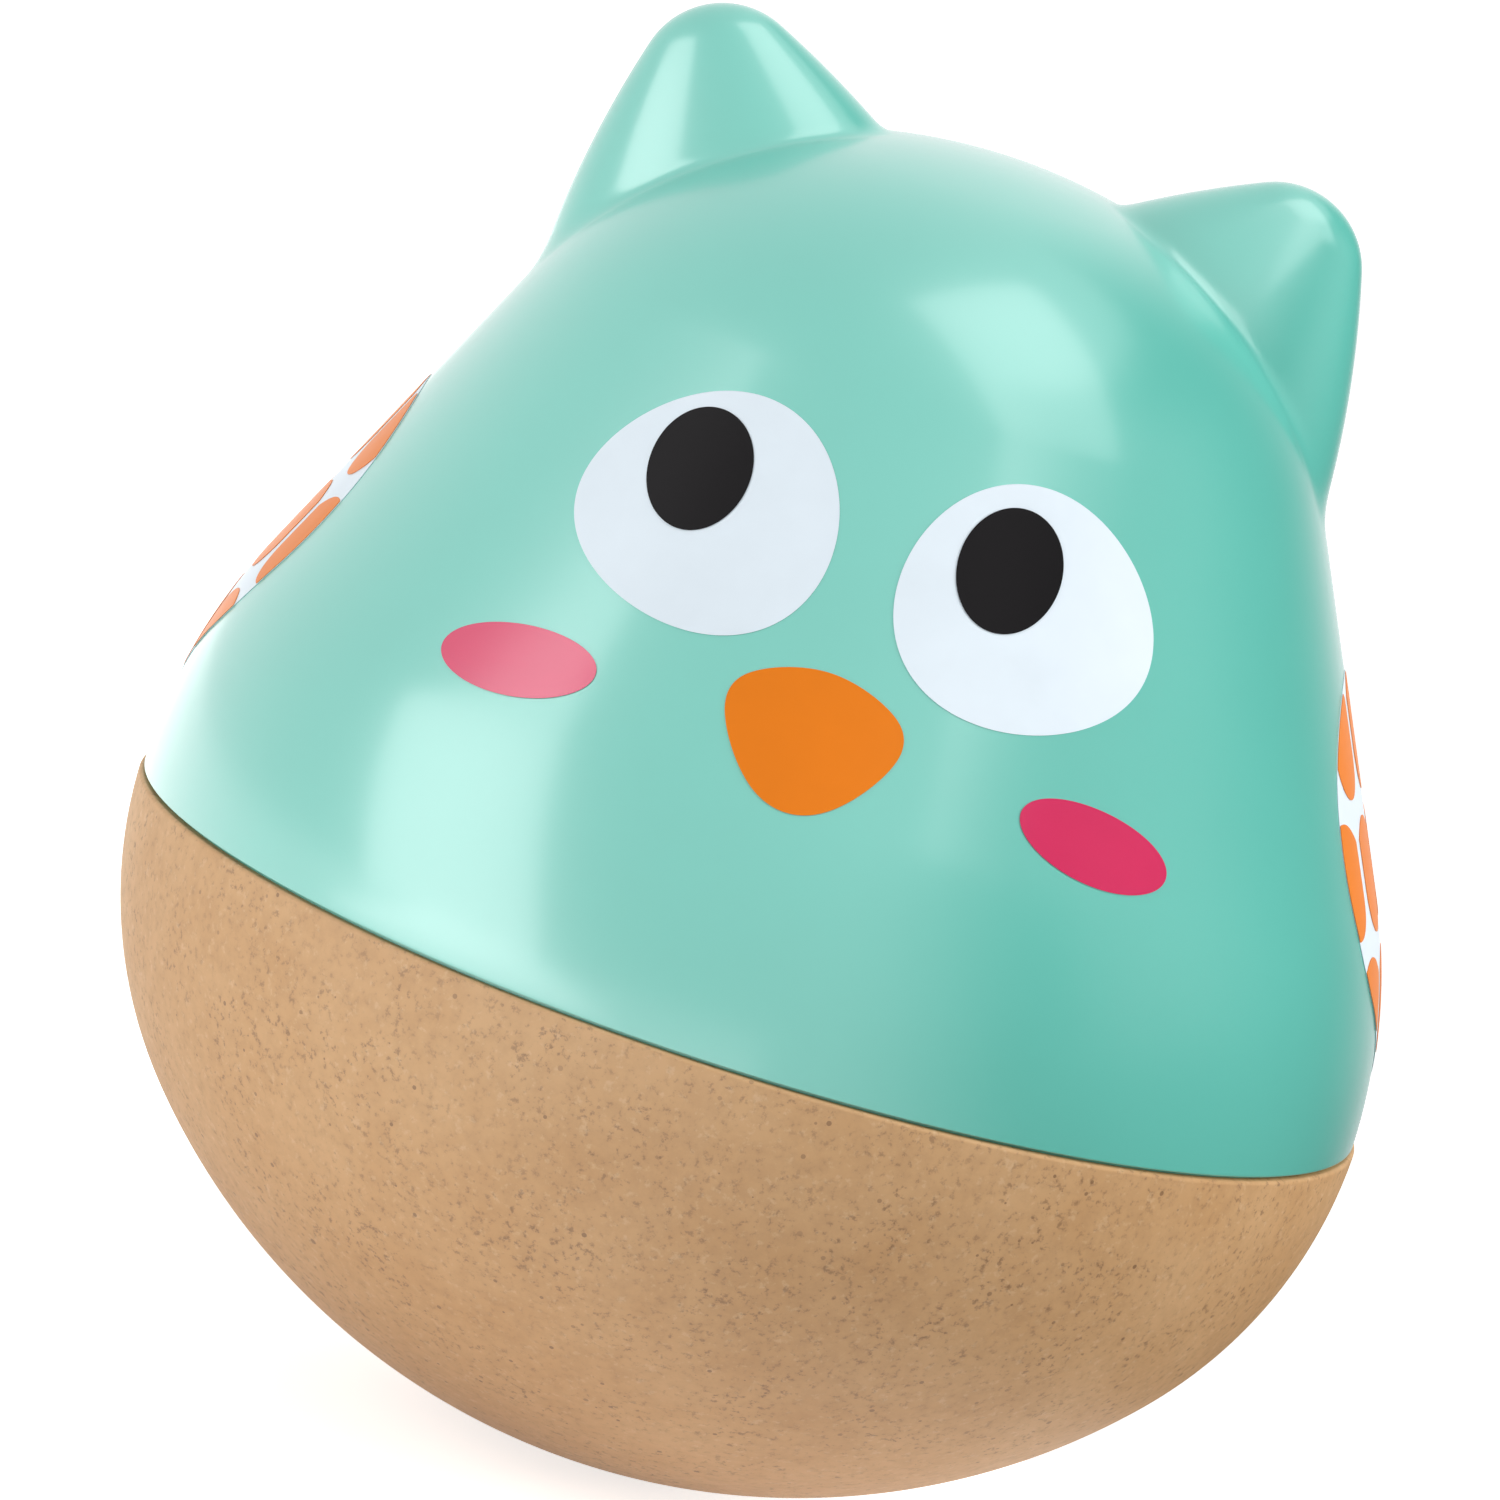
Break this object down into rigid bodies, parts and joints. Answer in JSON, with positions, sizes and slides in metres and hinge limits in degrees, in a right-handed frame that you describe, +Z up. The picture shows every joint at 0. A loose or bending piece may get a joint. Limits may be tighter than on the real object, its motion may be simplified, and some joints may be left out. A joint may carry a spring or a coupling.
{
  "type": "roly poly toy",
  "caption": "Owl roly poly toy: a weighted wood-fibre bowl under a hollow plastic dome with ears, self-righting when pushed, with a hanging clapper that strikes chime rods inside.",
  "frame": {"origin": "on the ground under the middle of the sole, at the small flat that the toy rests on", "axes": "+Z up along the body's axis, the face looks towards -Y, +X is the viewer's right when facing it"},
  "size_m": [0.1106, 0.1106, 0.1243],
  "materials": {
    "mint_shell": "glossy moulded plastic",
    "wood_fibre": "matte wood-fibre composite with fine flecks",
    "weight_iron": "rough cast",
    "steel": "plated",
    "chime_steel": "bright drawn rod",
    "grommet_rubber": "soft",
    "inner_plastic": "moulded",
    "bob_wood": "turned and sanded",
    "print_white": "printed film",
    "print_black": "printed film",
    "print_orange": "printed film",
    "print_pink": "printed film"
  },
  "bodies": {
    "root": {"base_shell": "wood_fibre", "base_weight": "weight_iron", "weight_washers": "steel", "weight_screws": "steel", "chime_deck": "inner_plastic", "deck_screws": "steel", "plate_grommets": "grommet_rubber", "chime_plate": "chime_steel", "plate_screws": "steel", "chime_rod_1": "chime_steel", "chime_rod_2": "chime_steel", "chime_rod_3": "chime_steel", "chime_rod_4": "chime_steel", "chime_rod_5": "chime_steel", "chime_rod_6": "chime_steel", "chime_rod_7": "chime_steel", "chime_rod_8": "chime_steel", "clapper_bridge": "inner_plastic", "bridge_screws": "steel", "bridge_pin": "steel", "upper_shell": "mint_shell", "eye_white_left": "print_white", "eye_white_right": "print_white", "pupil_left": "print_black", "pupil_right": "print_black", "beak": "print_orange", "cheek_left": "print_pink", "cheek_right": "print_pink", "wing_left_white": "print_white", "wing_left_orange": "print_orange", "wing_right_white": "print_white", "wing_right_orange": "print_orange"},
    "link": {"gimbal_link": "inner_plastic", "link_pin": "steel"},
    "clapper": {"clapper_stem": "steel", "clapper_bob": "bob_wood"}
  },
  "joints": [
    {"name": "clapper_pitch", "type": "hinge", "parent": "root", "child": "link", "pos_m": [0, 0, 0.07167], "axis": [1, 0, 0], "range_deg": [-20, 20]},
    {"name": "clapper_roll", "type": "hinge", "parent": "link", "child": "clapper", "pos_m": [0, 0, 0.06367], "axis": [0, 1, 0], "range_deg": [-28, 28]}
  ]
}
